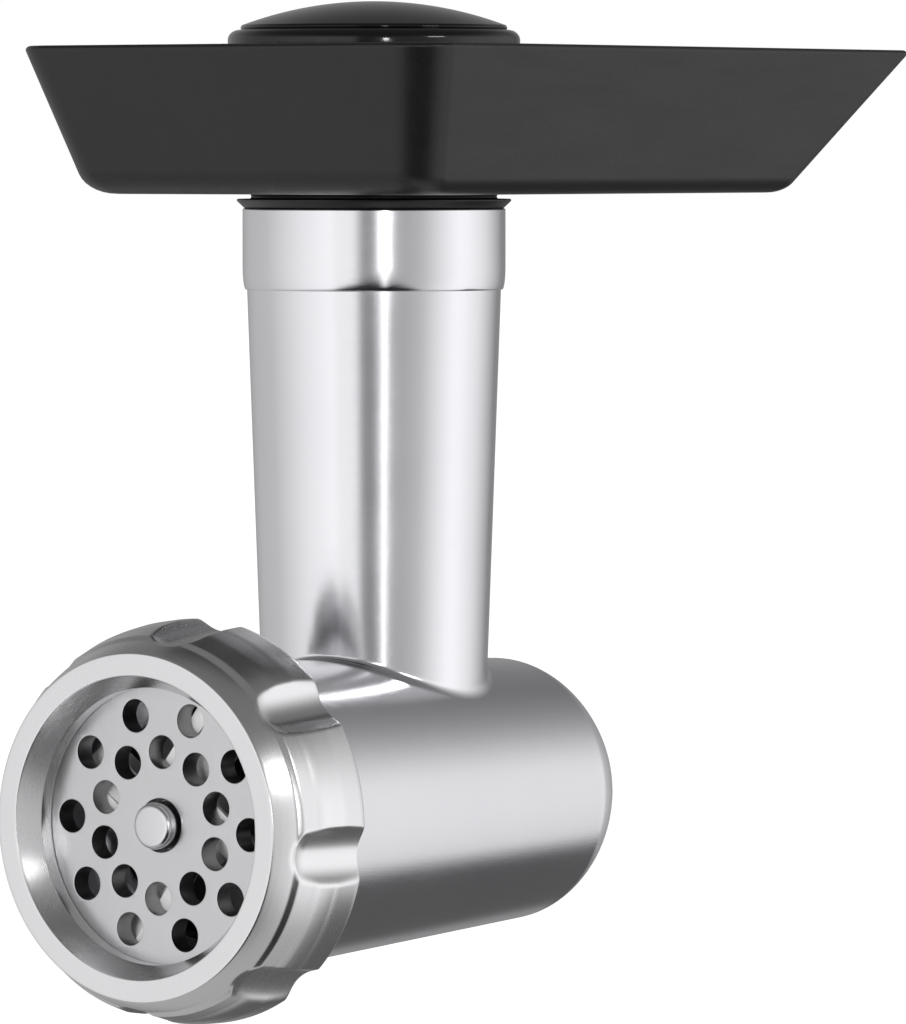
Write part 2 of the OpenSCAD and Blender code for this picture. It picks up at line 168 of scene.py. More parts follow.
def on_tube(r, angle, height):
    """Point at radius r around the feed tube's axis, at a height above the barrel axis."""
    return np.stack([r * np.cos(angle) + TUBE_X, r * np.sin(angle) - TUBE_FORWARD,
                     height + 0 * angle], -1)


def make_object(name, verts, faces, sharp=35):
    """Mesh object from points in millimetres. Points that round to the same micrometre are
    joined."""
    verts = np.asarray(verts, float)
    _, first, inverse = np.unique(
        np.round(verts, 3), axis=0, return_index=True, return_inverse=True)
    inverse = inverse.reshape(-1)
    joined = []
    for face in faces:
        loop = [int(inverse[i]) for i in face]
        loop = [v for k, v in enumerate(loop) if v != loop[k - 1]]
        if len(set(loop)) >= 3:
            joined.append(loop)
    mesh = bpy.data.meshes.new(name)
    mesh.from_pydata((verts[first] * MM).tolist(), [], joined)
    mesh.validate()
    face_outward(mesh)
    mesh.polygons.foreach_set("use_smooth", [True] * len(mesh.polygons))
    mesh.set_sharp_from_angle(angle=math.radians(sharp))
    obj = bpy.data.objects.new(name, mesh)
    bpy.context.scene.collection.objects.link(obj)
    weighted = obj.modifiers.new("weighted", "WEIGHTED_NORMAL")
    weighted.keep_sharp = True
    weighted.weight = 80
    return obj


def face_outward(mesh):
    """Turns every face of a mesh outward."""
    bm = bmesh.new()
    bm.from_mesh(mesh)
    bmesh.ops.recalc_face_normals(bm, faces=bm.faces)
    bm.to_mesh(mesh)
    bm.free()


def grid_faces(rows, columns, offset=0, close_rows=False):
    """Quads of a grid of points whose columns close round."""
    faces = []
    for r in range(rows if close_rows else rows - 1):
        r2 = (r + 1) % rows
        for c in range(columns):
            c2 = (c + 1) % columns
            faces.append([offset + r * columns + c, offset + r * columns + c2,
                          offset + r2 * columns + c2, offset + r2 * columns + c])
    return faces


def lathe(name, outline, place, steps=STEPS):
    """Solid made by turning a closed outline of (radius, height) about the barrel or the tube."""
    angles = np.linspace(0, 2 * math.pi, steps, endpoint=False)
    rows = [place(r, angles, h) for r, h in outline]
    verts = np.concatenate(rows)
    return make_object(name, verts, grid_faces(len(rows), steps, close_rows=True))


def dense(outline, step):
    """The same closed outline with no gap longer than step."""
    out = []
    for i, p in enumerate(outline):
        q = outline[(i + 1) % len(outline)]
        pieces = max(1, math.ceil(np.linalg.norm(q - p) / step))
        out += [p + (q - p) * k / pieces for k in range(pieces)]
    return out


# ---------------------------------------------------------------- housing
def barrel_radius(forward):
    """Outer radius of the barrel at a distance forward of the hub shoulder."""
    share = np.clip((forward - REAR_LEN) / (RING_REAR - REAR_LEN), 0, 1)
    short = np.clip((REAR_LEN - forward) / (REAR_LEN - SHOULDER_EDGE), 0, 1)
    return (BARREL_REAR_R + (BARREL_FRONT_R - BARREL_REAR_R) * share
            - (BARREL_REAR_R - SHOULDER_R) * short ** 1.6)


def tube_radius(height):
    """Outer radius of the feed tube at a height above the barrel axis."""
    slope = (TUBE_TOP_R - TUBE_LOW_R) / (COLLAR_LOW[2] - TUBE_LOW_Z)
    return np.minimum(TUBE_LOW_R + slope * (height - TUBE_LOW_Z), TUBE_TOP_R)


def outside_field(p):
    """Distance outside the barrel and tube, blended by a fillet. It is zero on the surface."""
    to_barrel = np.hypot(p[..., 0], p[..., 2]) - barrel_radius(-p[..., 1])
    to_tube = np.hypot(p[..., 0] - TUBE_X, p[..., 1] + TUBE_FORWARD) - tube_radius(p[..., 2])
    u, v = np.maximum(FILLET_R - to_tube, 0), np.maximum(FILLET_R - to_barrel, 0)
    return np.maximum(FILLET_R, np.minimum(to_barrel, to_tube)) - np.hypot(u, v)


def gradient(field, p, step=2e-3):
    """Gradient of a field at each point."""
    sides = []
    for axis in range(3):
        shift = np.zeros(3)
        shift[axis] = step
        sides.append((field(p + shift) - field(p - shift)) / (2 * step))
    return np.stack(sides, -1)


def settle(p, rounds=12):
    """Moves points on to the blended surface."""
    for _ in range(rounds):
        g = gradient(outside_field, p)
        p = p - (outside_field(p) / np.maximum((g ** 2).sum(-1), 1e-6))[..., None] * g
    return p


def saddle(radius_of, pipe_r, angles, pipe_x=TUBE_X):
    """Where a tube of radius pipe_r meets the barrel surface, for each angle round the tube."""
    x, y = pipe_r * np.cos(angles) + pipe_x, pipe_r * np.sin(angles) - TUBE_FORWARD
    return np.stack([x, y, np.sqrt(radius_of(-y) ** 2 - x ** 2)], -1)


def tube_skirt(angles):
    """Rows of the tube's outside from its mouth down to where its fillet ends on the barrel."""
    corner = saddle(barrel_radius, tube_radius(np.full_like(angles, 25.0)), angles)
    for _ in range(6):
        corner = saddle(barrel_radius, tube_radius(corner[:, 2]), angles)
    out = np.stack([np.cos(angles), np.sin(angles), 0 * angles], -1)
    barrel_normal = corner * [1, 0, 1]
    barrel_normal /= np.linalg.norm(barrel_normal, axis=1)[:, None]
    along = out - (out * barrel_normal).sum(1)[:, None] * barrel_normal
    along /= np.linalg.norm(along, axis=1)[:, None]
    reach = 2.3 * FILLET_R
    rows = []
    for z in (TUBE_TOP, TUBE_TOP - 0.3):
        rows.append(on_tube(TUBE_TOP_R - (0.3 if z == TUBE_TOP else 0), angles, z))
    rows.append(on_tube(TUBE_TOP_R, angles, COLLAR_LOW[2]))
    low = corner[:, 2] + reach
    for t in np.linspace(0, 1, 26)[1:]:
        z = COLLAR_LOW[2] + (low - COLLAR_LOW[2]) * t
        rows.append(on_tube(tube_radius(z), angles, z))
    for s in np.linspace(0, 1, 19)[1:]:
        up, away = max(1 - 2 * s, 0), max(2 * s - 1, 0)
        start = corner + np.array([0, 0, 1]) * reach * up + along * reach * away
        rows.append(settle(start))
    return rows


def barrel_patch(radius_of, low, high, loop, step):
    """Triangles of a barrel surface between two distances, with a hole inside the given loop of
    points. Its end columns sit at the same angles as a lathe's."""
    scale = 30.0
    u = np.linspace(-math.pi / 2, 1.5 * math.pi, STEPS + 1)
    v = np.linspace(low, high, max(2, round((high - low) / step)) + 1)
    hole = np.stack([np.arctan2(loop[:, 2], loop[:, 0]) * scale, -loop[:, 1]], -1)
    grid_u, grid_v = np.meshgrid(u * scale, v)
    points = np.stack([grid_u.ravel(), grid_v.ravel()], -1)
    border = ((points[:, 1] <= low + 1e-9) | (points[:, 1] >= high - 1e-9)
              | (points[:, 0] <= u[0] * scale + 1e-6) | (points[:, 0] >= u[-1] * scale - 1e-6))
    gap = np.sqrt(((points[:, None] - hole[None]) ** 2).sum(-1)).min(1)
    keep = border | (~inside(points, hole) & (gap > 0.45 * step))
    points = points[keep]
    count = len(points)
    ring = [(count + i, count + (i + 1) % len(hole)) for i in range(len(hole))]
    everything = np.concatenate([points, hole])
    found = delaunay_2d_cdt([Vector(p) for p in everything], ring, [], 0, 1e-7)
    flat = np.array([p[:] for p in found[0]])
    triangles = [list(f) for f in found[2]]
    middles = np.array([flat[t].mean(0) for t in triangles])
    triangles = [t for t, drop in zip(triangles, inside(middles, hole)) if not drop]
    angle, forward = flat[:, 0] / scale, flat[:, 1]
    return on_barrel(radius_of(forward), angle, forward), triangles


def inside(points, loop):
    """Which points lie inside a closed loop."""
    x, y = points[:, :1], points[:, 1:]
    x1, y1 = loop[:, 0][None], loop[:, 1][None]
    x2, y2 = np.roll(loop[:, 0], -1)[None], np.roll(loop[:, 1], -1)[None]
    crosses = (y1 > y) != (y2 > y)
    at = x1 + (y - y1) / np.where(np.abs(y2 - y1) < 1e-12, 1e-12, y2 - y1) * (x2 - x1)
    return (crosses & (x < at)).sum(1) % 2 == 1


def thread_wave(turns):
    """Height of a rounded thread, from 0 at the root to 1 at the crest, against turns."""
    phase = np.abs((turns % 1.0) - 0.5) * 2
    return np.clip((phase - 0.3) / 0.4, 0, 1)


def housing_piece():
    """Barrel and feed tube in one mesh, with a fillet between them and a cut thread. It is closed
    but for a slit up to 0.06 mm wide on the -X side, where the fillet's last row stands a little
    off the barrel, and three seams of no width inside the mouth."""
    verts, faces = [], []

    def add(points, new_faces):
        total = sum(len(rows) for rows in verts)
        verts.append(points)
        faces.extend([[total + i for i in f] for f in new_faces])

    around = np.linspace(0, 2 * math.pi, STEPS, endpoint=False)
    skirt = tube_skirt(around)
    add(np.concatenate(skirt), grid_faces(len(skirt), STEPS))
    add(*barrel_patch(barrel_radius, REAR_LEN, THREAD_START, skirt[-1], 2.2))

    inner_loop = saddle(lambda y: BARREL_BORE_R + 0 * y, TUBE_BORE_R - 0.8, around, TUBE_X + 1.4)
    mouth_rows = [on_tube(TUBE_TOP_R - 0.3, around, TUBE_TOP),
                  on_tube(COUNTERBORE_R + 0.3, around, TUBE_TOP),
                  on_tube(COUNTERBORE_R, around, TUBE_TOP - 0.3),
                  on_tube(COUNTERBORE_R, around, COUNTERBORE_LOW),
                  on_tube(TUBE_BORE_R, around, COUNTERBORE_LOW),
                  on_tube(TUBE_BORE_R, around, SHAFT_LOW[2] - 2)]
    for t in np.linspace(0, 1, 8)[1:]:
        mouth_rows.append(mouth_rows[5] * (1 - t) + inner_loop * t)
    add(np.concatenate(mouth_rows), grid_faces(len(mouth_rows), STEPS))
    add(*barrel_patch(lambda y: BARREL_BORE_R + 0 * y, WALL_T, RING_REAR - 1, inner_loop, 3.0))

    turned = np.linspace(-math.pi / 2, 1.5 * math.pi, STEPS, endpoint=False)
    rear = [(barrel_radius(f), f) for f in np.linspace(REAR_LEN, SHOULDER_EDGE, 13)]
    rear += [(SHOULDER_R - 0.15, 0.12), (SHOULDER_R - SHOULDER_EDGE, 0), (POCKET_R + 0.2, 0),
             (POCKET_R, 0.2), (POCKET_R, POCKET_T), (NOSE_R, POCKET_T), (NOSE_R, WALL_T),
             (BARREL_BORE_R, WALL_T)]
    rows = [on_barrel(r, turned, f) for r, f in rear]
    add(np.concatenate(rows), grid_faces(len(rows), STEPS))

    rows = []
    for f in np.linspace(THREAD_START, MOUTH - 0.4, 34):
        ends = np.clip((f - THREAD_START) / 1.5, 0, 1) * np.clip((MOUTH - 0.6 - f) / 1.2, 0, 1)
        root = barrel_radius(THREAD_START)
        crest = thread_wave(f / THREAD_PITCH - turned / (2 * math.pi)) * (THREAD_R - root) * ends
        rows.append(on_barrel(root + crest, turned, f))
    front = [(barrel_radius(THREAD_START) - 0.4, MOUTH), (PLATE_POCKET_R + 0.3, MOUTH),
             (PLATE_POCKET_R, MOUTH - 0.3), (PLATE_POCKET_R, PLATE_BACK - 0.1),
             (CHAMBER_R, PLATE_BACK - 0.1), (CHAMBER_R, RING_REAR - 1),
             (BARREL_BORE_R, RING_REAR - 1)]
    rows += [on_barrel(r, turned, f) for r, f in front]
    add(np.concatenate(rows), grid_faces(len(rows), STEPS))
    return finish_housing(np.concatenate(verts), faces)


def finish_housing(verts, faces):
    """The housing's object, with true normals where its outside is one smooth surface."""
    obj = make_object("cast_housing", verts, faces)
    obj.modifiers.clear()
    mesh = obj.data
    corners = np.array([n.vector[:] for n in mesh.corner_normals], float)
    places = np.array([v.co[:] for v in mesh.vertices], float) / MM
    field_normals = gradient(outside_field, places)
    field_normals /= np.maximum(np.linalg.norm(field_normals, axis=1), 1e-9)[:, None]
    on_surface = np.abs(outside_field(places)) < 0.02
    for polygon in mesh.polygons:
        ids = [mesh.loops[i].vertex_index for i in polygon.loop_indices]
        facing = np.array(polygon.normal[:])
        if all(on_surface[ids]) and (field_normals[ids] @ facing).min() > 0.85:
            corners[list(polygon.loop_indices)] = field_normals[ids]
    mesh.normals_split_custom_set(corners.tolist())
    return obj


# ---------------------------------------------------------------- screw ring
def flute_floor(angle, forward):
    """Radius at which the nearest flute cutter meets a ray from the axis, or a large value."""
    lean = math.radians(FLUTE_LEAN)
    spacing = 2 * math.pi / FLUTES
    off = (angle - math.radians(FLUTE_START) + spacing / 2) % spacing - spacing / 2
    foot = np.array([RING_R + 6.1, RING_REAR])
    way = np.array([-math.sin(lean), math.cos(lean)])
    low, high = np.full_like(angle, 34.0), np.full_like(angle, RING_R + 6.0)

    def distance(rho):
        radial, side = rho * np.cos(off), rho * np.sin(off)
        s = np.clip((radial - foot[0]) * way[0] + (forward - foot[1]) * way[1], -9, 17)
        return np.sqrt((radial - foot[0] - s * way[0]) ** 2
                       + (forward - foot[1] - s * way[1]) ** 2 + side ** 2) - FLUTE_R

    touched = distance(high) < 0
    for _ in range(26):
        middle = (low + high) / 2
        within = distance(middle) < 0
        high = np.where(within, middle, high)
        low = np.where(within, low, middle)
    return np.where(touched, high, 1e3)


def smooth_min(a, b, blend):
    """The smaller of two values, with a rounded change from one to the other."""
    share = np.maximum(blend - np.abs(a - b), 0) / blend
    return np.minimum(a, b) - share ** 2 * blend / 4


def eased(outline, least_r, low, high):
    """The outline with the radius of each point in the given range averaged with its neighbours."""
    before, after = outline[-1:] + outline[:-1], outline[1:] + outline[:1]
    return [np.array([(a[0] + 2 * p[0] + b[0]) / 4, p[1]])
            if p[0] > least_r and low < p[1] < high else p
            for a, p, b in zip(before, outline, after)]


def ring_piece():
    """Screw ring with eight run-out flutes, a bevelled mouth and a thread in its bore."""
    steps = 720
    flute_from, ease_from = 37.5, 38
    outline = dense(rounded([
        (RING_BORE_R, RING_REAR, 0.5),
        (RING_R - 0.1, RING_REAR, 0.9),
        (RING_R, RING_REAR + 1.6, 2.0),
        (RING_R - 0.2, RING_REAR + 7.5, 12.0),
        (RING_R - 1.2, RING_REAR + 13.5, 10.0),
        (RING_R - 3.2, RING_FRONT - 5.6, 8.0),
        (RING_R - 6.3, RING_FRONT, 0.5),
        (LIP_R + 2.8, RING_FRONT, 0.35),
        (LIP_R, RING_FRONT - 5.3, 0.3),
        (LIP_R, PLATE_FRONT + 0.1, 0.2),
        (RING_BORE_R, PLATE_FRONT + 0.1, 0.3),
    ], 5), 0.6)
    for _ in range(40):
        outline = eased(outline, ease_from, RING_REAR + 2, RING_FRONT - 1)
    angles = np.linspace(0, 2 * math.pi, steps, endpoint=False)
    rows = []
    for r, f in outline:
        radius = r + 0 * angles
        if r > flute_from:
            cut = flute_floor(angles, np.full_like(angles, f))
            radius = np.where(cut < 100, smooth_min(radius, cut, 0.9), r)
        if abs(r - RING_BORE_R) < 0.01 and RING_REAR + 1.5 < f < MOUTH + 1:
            radius = radius + 0.7 * (1 - thread_wave(f / THREAD_PITCH - angles / (2 * math.pi)))
        rows.append(on_barrel(radius, angles, f))
    return make_object("fluted_ring", np.concatenate(rows),
                       grid_faces(len(rows), steps, close_rows=True), sharp=40)


# ---------------------------------------------------------------- hole plate
def circle_points(x, z, r, count):
    """Points of a circle in the plate's plane."""
    return [(x + r * math.cos(a), z + r * math.sin(a))
            for a in np.linspace(0, 2 * math.pi, count, endpoint=False)]


def plate_piece():
    """Ground plate with twenty chamfered holes, a centre hole and a notch for the key."""
    edge, notch_at = PLATE_HIGH[0], PLATE_POCKET_R
    rim = []
    for a in np.linspace(0, 2 * math.pi, 240, endpoint=False):
        x, z = edge * math.cos(a), edge * math.sin(a)
        away = math.hypot(x, z + notch_at)
        if away < KEY_NOTCH_R:
            x, z = x * KEY_NOTCH_R / away, (z + notch_at) * KEY_NOTCH_R / away - notch_at
        rim.append((x, z))
    loops = [rim, circle_points(0, 0, CENTRE_HOLE_R, 72)]
    for start, radius in HOLE_RINGS:
        for k in range(10):
            a = math.radians(start + 36 * k)
            loops.append(circle_points(radius * math.cos(a), radius * math.sin(a), HOLE_R, 56))
    curve = bpy.data.curves.new("plate_outline", "CURVE")
    curve.dimensions = "2D"
    curve.fill_mode = "BOTH"
    curve.extrude = (PLATE_FRONT - PLATE_BACK) / 2 - PLATE_BEVEL
    curve.bevel_depth = PLATE_BEVEL
    curve.bevel_resolution = 1
    curve.offset = -PLATE_BEVEL
    for loop in loops:
        spline = curve.splines.new("POLY")
        spline.points.add(len(loop) - 1)
        spline.use_cyclic_u = True
        for point, (x, z) in zip(spline.points, loop):
            point.co = (x, z, 0, 1)
    holder = bpy.data.objects.new("plate_outline", curve)
    bpy.context.scene.collection.objects.link(holder)
    made = bpy.data.meshes.new_from_object(holder.evaluated_get(
        bpy.context.evaluated_depsgraph_get()))
    flat = np.array([v.co[:] for v in made.vertices])
    faces = [list(p.vertices) for p in made.polygons]
    bpy.data.objects.remove(holder)
    bpy.data.meshes.remove(made)
    middle = (PLATE_FRONT + PLATE_BACK) / 2
    verts = np.stack([flat[:, 0], -middle - flat[:, 2], flat[:, 1]], -1)
    return make_object("drilled_plate", verts, faces)


# ---------------------------------------------------------------- worm
def worm_piece():
    """Worm with a helical flight on a tapered core, a shoulder, a journal and a square tail."""
    flight_r, shoulder, front = WORM_HIGH[0], WORM_SHOULDER, -KNIFE_HIGH[1]
    steps = 144
    angles = np.linspace(0, 2 * math.pi, steps, endpoint=False)
    tail = -4.9
    square = 5 / np.maximum(np.abs(np.cos(angles)), np.abs(np.sin(angles)))
    rows = [on_barrel(3.0 + 0 * angles, angles, tail), on_barrel(square - 0.3, angles, tail),
            on_barrel(square, angles, tail + 0.3), on_barrel(square, angles, -2.4)]
    rows += [on_barrel(r + 0 * angles, angles, f) for r, f in (
        (9.65, -2.4), (9.95, -2.1), (9.95, shoulder), (17.6, shoulder), (18, shoulder + 0.4),
        (18, shoulder + 1.6), (17.6, shoulder + 2), (12, shoulder + 2.01))]
    for f in np.arange(shoulder + 2.3, front - 0.8, 0.7):
        core = 11 + 2 * (f - shoulder) / (front - shoulder)
        turns = (f - shoulder - 1) / FLIGHT_PITCH + angles / (2 * math.pi)
        off = np.abs((turns + 0.5) % 1.0 - 0.5) * FLIGHT_PITCH
        rise = np.clip((4.6 - off) / 2.6, 0, 1)
        rise = rise * rise * (3 - 2 * rise)
        ends = np.clip((front - 1.2 - f) / 1.5, 0, 1)
        rows.append(on_barrel(core + (flight_r - core) * rise * ends, angles, f))
    rows += [on_barrel(r + 0 * angles, angles, f) for r, f in (
        (12.6, front - 0.4), (12.2, front), (6, front), (6, front - 20), (3, front - 20),
        (3, 0))]
    return make_object("cast_worm", np.concatenate(rows),
                       grid_faces(len(rows), steps, close_rows=True), sharp=40)


# ---------------------------------------------------------------- feed tray
def tray_sections():
    """For each side of the tray, its section as (distance from the tube's axis, height)."""
    floor_low, wall, top = TRAY_FLOOR_LOW, TRAY_WALL, TRAY_HIGH[2]
    floor_high = floor_low + wall
    half = TRAY_HIGH[0] - TUBE_X
    rim = {"front": -TRAY_LOW[1] - TUBE_FORWARD, "right": half,
           "back": TRAY_HIGH[1] + TUBE_FORWARD, "left": half}
    sections = {}
    for side, floor in TRAY_FLOOR.items():
        lean = (rim[side] - floor) / (top - floor_low)
        thick = wall * math.hypot(1, lean)
        inner_low = floor + lean * wall - thick
        sections[side] = rounded([
            (floor - 14, floor_low, 0), (floor, floor_low, TRAY_FILLET[side]),
            (rim[side], top, 0.9), (rim[side] - thick, top, 0.9),
            (inner_low, floor_high, TRAY_FILLET[side] - 1.5), (floor - 14, floor_high, 0),
        ], 7)
    return sections


def tray_rows():
    """Rows of points round the tray, from the floor's underside over the rim to its top."""
    sections = tray_sections()
    count = len(sections["front"])
    rows = []
    for j in range(count):
        at = {side: sections[side][j] for side in sections}
        height = at["right"][1]
        share = np.clip((height - TRAY_FLOOR_LOW) / (TRAY_HIGH[2] - TRAY_FLOOR_LOW), 0, 1)
        inner = TRAY_WALL if j > count / 2 else 0
        front_r, back_r = 8 + 2 * share - inner, 5 - share - inner * 0.6
        corners = [("front", "right", front_r), ("right", "back", back_r),
                   ("back", "left", back_r), ("left", "front", front_r)]
        rows.append(tray_outline(at, corners))
    return rows


def tray_outline(at, corners):
    """One closed row: four sides and four rounded corners, starting at the front right corner."""
    out_of = {"front": (0, -1), "right": (1, 0), "back": (0, 1), "left": (-1, 0)}
    points = []
    arcs = []
    for one, two, r in corners:
        a, b = np.array(out_of[one]), np.array(out_of[two])
        centre = a * (at[one][0] - r) + b * (at[two][0] - r)
        arc = []
        for t in np.linspace(0, 1, 13):
            turn = t * math.pi / 2
            xy = centre + r * (a * math.cos(turn) + b * math.sin(turn))
            arc.append([*xy, at[one][1] * (1 - t) + at[two][1] * t])
        arcs.append(np.array(arc))
    for k, arc in enumerate(arcs):
        points.extend(arc)
        start, end = arc[-1], arcs[(k + 1) % 4][0]
        for t in np.linspace(0, 1, 24)[1:-1]:
            points.append(start * (1 - t) + end * t)
    points = np.array(points)
    points[:, 0] += TUBE_X
    points[:, 1] -= TUBE_FORWARD
    return points


def tray_piece():
    """Moulded tray with eased edges, and a flanged spigot that plugs into the tube."""
    rows = tray_rows()
    angles = np.arctan2(rows[0][:, 1] + TUBE_FORWARD, rows[0][:, 0] - TUBE_X)
    floor_low, floor_high = TRAY_FLOOR_LOW, TRAY_FLOOR_LOW + TRAY_WALL
    neck_low, spigot_low = TRAY_FLOOR_LOW - 1.1, TRAY_LOW[2]
    under = [(27.6, floor_low), (27.15, floor_low - 0.15), (27, floor_low - 0.5),
             (27, neck_low + 0.3), (27.3, neck_low), (29.9, neck_low), (30.15, neck_low - 0.15),
             (30.1, neck_low - 0.5), (28.7, TUBE_TOP + 0.25), (28.4, TUBE_TOP),
             (25.2, TUBE_TOP), (25.2, spigot_low + 0.6), (24.6, spigot_low),
             (22.8, spigot_low), (22.4, spigot_low + 0.4), (22.4, floor_high - 1.4),
             (22.6, floor_high - 0.7), (23.1, floor_high - 0.2), (23.8, floor_high)]
    circles = [on_tube(r, angles, h) for r, h in under]
    loop = rows + circles[::-1]
    verts = np.concatenate(loop)
    return make_object("moulded_tray", verts,
                       grid_faces(len(loop), len(angles), close_rows=True), sharp=40)


# ---------------------------------------------------------------- pusher, collar, hub
def pusher_piece():
    """Hollow pusher with a stop collar on the tray's floor and a flared rim under its cap."""
    r, head = SHAFT_HIGH[0] - TUBE_X, HEAD_HIGH[0] - TUBE_X
    low, top = SHAFT_LOW[2], HEAD_HIGH[2]
    flare, floor = top - 3.5, TRAY_FLOOR_LOW + TRAY_WALL
    shoulder = [(head - 2.5 * (1 - math.cos(a)), top - 2.3 * (1 - math.sin(a)), 0)
                for a in np.linspace(0, math.pi / 2, 14)]
    return lathe("pusher_shell", rounded([
        (0, low, 0), (r, low, 1.5), (r, floor, 0.2), (r + 4, floor, 0.3),
        (r + 4, floor + 2.5, 0.6), (r, floor + 2.5, 0.8), (r, flare - 9.6, 6),
        (r + 1.6, flare - 5.1, 5), (head - 3.5, flare - 2.2, 1.5), (head, flare, 0.6),
        *shoulder, (head - 3, top, 0),
        (head - 3, flare + 1.2, 0.3), (r - 2.4, flare - 5.6, 1.5), (r - 2.4, low + 2.4, 1.5),
        (0, low + 2.4, 0),
    ]), on_tube)


def cap_piece():
    """Domed cap. Its edge stands in from the rim below, which leaves a shallow crease."""
    head, base, top = HEAD_HIGH[0] - TUBE_X, HEAD_HIGH[2], CAP_HIGH[2]
    edge = CAP_HIGH[0] - TUBE_X
    rise = top - base
    dome_r = (edge ** 2 + rise ** 2) / (2 * rise)
    skirt = head - 2.8
    half = math.asin((skirt - 0.3) / dome_r)
    dome = [(dome_r * math.sin(a), top - dome_r * (1 - math.cos(a)), 0)
            for a in np.linspace(0, half, 22)]
    outline = dome + [(skirt, base + 0.5, 0.3), (skirt - 0.15, base, 0.05),
                      (head - 3.1, base, 0), (head - 3.1, CAP_LOW[2], 0.2),
                      (head - 5.5, CAP_LOW[2], 0.2), (head - 5.5, base, 0), (0, base, 0)]
    return lathe("domed_cap", rounded(outline), on_tube)


def collar_piece():
    """Plain sleeve round the tube's mouth, with an eased lower edge."""
    low, top, r = COLLAR_LOW[2], COLLAR_HIGH[2], COLLAR_HIGH[0] - TUBE_X
    inner, drawn, rise = TUBE_TOP_R + 0.02, r - TUBE_TOP_R - 0.3, 5.0
    outline = [(inner, low, 0)]
    outline += [(r - drawn * (1 - math.sin(a)), low + rise * (1 - math.cos(a)), 0)
                for a in np.linspace(0, math.pi / 2, 12)]
    outline += [(r, top, 0.35), (inner, top, 0)]
    return lathe("mouth_collar", rounded(outline, 6), on_tube)


def stud_piece():
    """Stud: shank in the worm's nose, square for the knife, and a rounded end in the plate."""
    steps, shank_r, end_r, half, front = 144, 6.0, 5.0, 5.0, -STUD_LOW[1]
    start, square_end = -STUD_HIGH[1], -KNIFE_LOW[1]
    square_start = -KNIFE_HIGH[1]
    angles = np.linspace(0, 2 * math.pi, steps, endpoint=False)
    turned = angles - math.radians(KNIFE_START)
    square = half / np.maximum(np.abs(np.cos(turned)), np.abs(np.sin(turned)))
    square = np.minimum(square, half * 1.36)
    rows = [on_barrel(r + 0 * angles, angles, f) for r, f in (
        (0.0, start), (shank_r - 0.3, start), (shank_r, start + 0.3), (shank_r, square_start))]
    rows += [on_barrel(square, angles, square_start), on_barrel(square, angles, square_end)]
    rows.append(on_barrel(end_r + 0 * angles, angles, square_end))
    ease = 1.3
    for a in np.linspace(0, math.pi / 2, 9):
        rows.append(on_barrel(end_r - ease * (1 - math.cos(a)) + 0 * angles, angles,
                              front - ease * (1 - math.sin(a)) - 0.1))
    rows += [on_barrel(1.5 + 0 * angles, angles, front), on_barrel(0 * angles, angles, front)]
    return make_object("knife_stud", np.concatenate(rows), grid_faces(len(rows), steps), sharp=40)


PIECES = {}


def place(piece, nodes, body, slot_name):
    """Rides a piece on its body, in place of its CAD nodes. Its slot_name is not used."""
    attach(piece, body)
    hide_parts(*nodes)
    for node in nodes:
        PIECES[node] = piece


place(housing_piece(), ["housing"], "grinder_body", "cast_metal")
place(collar_piece(), ["tube_collar"], "grinder_body", "cast_metal")
place(ring_piece(), ["screw_ring"], "ring", "ring_metal")
place(plate_piece(), ["hole_plate"], "plate", "plate_steel")
place(worm_piece(), ["worm"], "worm_shaft", "worm_metal")
place(stud_piece(), ["worm_stud"], "worm_shaft", "steel")
place(tray_piece(), ["feed_tray"], "tray", "tray_plastic")
place(pusher_piece(), ["pusher_shaft", "pusher_stop", "pusher_head"], "pusher", "gloss_black")
place(cap_piece(), ["pusher_cap"], "pusher", "gloss_black")


# ---------------------------------------------------------------- materials
def nodes_of(material):
    """A material's nodes and links, with only its shader and output left."""
    material.use_nodes = True
    tree = material.node_tree
    tree.nodes.clear()
    shader = tree.nodes.new("ShaderNodeBsdfPrincipled")
    out = tree.nodes.new("ShaderNodeOutputMaterial")
    tree.links.new(shader.outputs["BSDF"], out.inputs["Surface"])
    return tree, shader


def noise(tree, scale, detail=3.0, rough=0.55, stretch=(1, 1, 1)):
    """Noise over the piece's own coordinates, in metres, stretched along chosen axes."""
    where = tree.nodes.new("ShaderNodeTexCoord")
    mapping = tree.nodes.new("ShaderNodeMapping")
    mapping.inputs["Scale"].default_value = stretch
    tex = tree.nodes.new("ShaderNodeTexNoise")
    tex.inputs["Scale"].default_value = scale
    tex.inputs["Detail"].default_value = detail
    tex.inputs["Roughness"].default_value = rough
    tree.links.new(where.outputs["Object"], mapping.inputs["Vector"])
    tree.links.new(mapping.outputs["Vector"], tex.inputs["Vector"])
    return tex.outputs["Fac"]


def spread(tree, value, low, high, centre=0.5, width=0.25):
    """The value's middle range, mapped to low and high."""
    node = tree.nodes.new("ShaderNodeMapRange")
    node.inputs["From Min"].default_value = centre - width
    node.inputs["From Max"].default_value = centre + width
    node.inputs["To Min"].default_value = low
    node.inputs["To Max"].default_value = high
    tree.links.new(value, node.inputs["Value"])
    return node.outputs["Result"]


def tint(tree, value, dark, light):
    """A colour between dark and light."""
    mix = tree.nodes.new("ShaderNodeMix")
    mix.data_type = "RGBA"
    mix.inputs["A"].default_value = (*dark, 1)
    mix.inputs["B"].default_value = (*light, 1)
    tree.links.new(value, mix.inputs["Factor"])
    return mix.outputs["Result"]


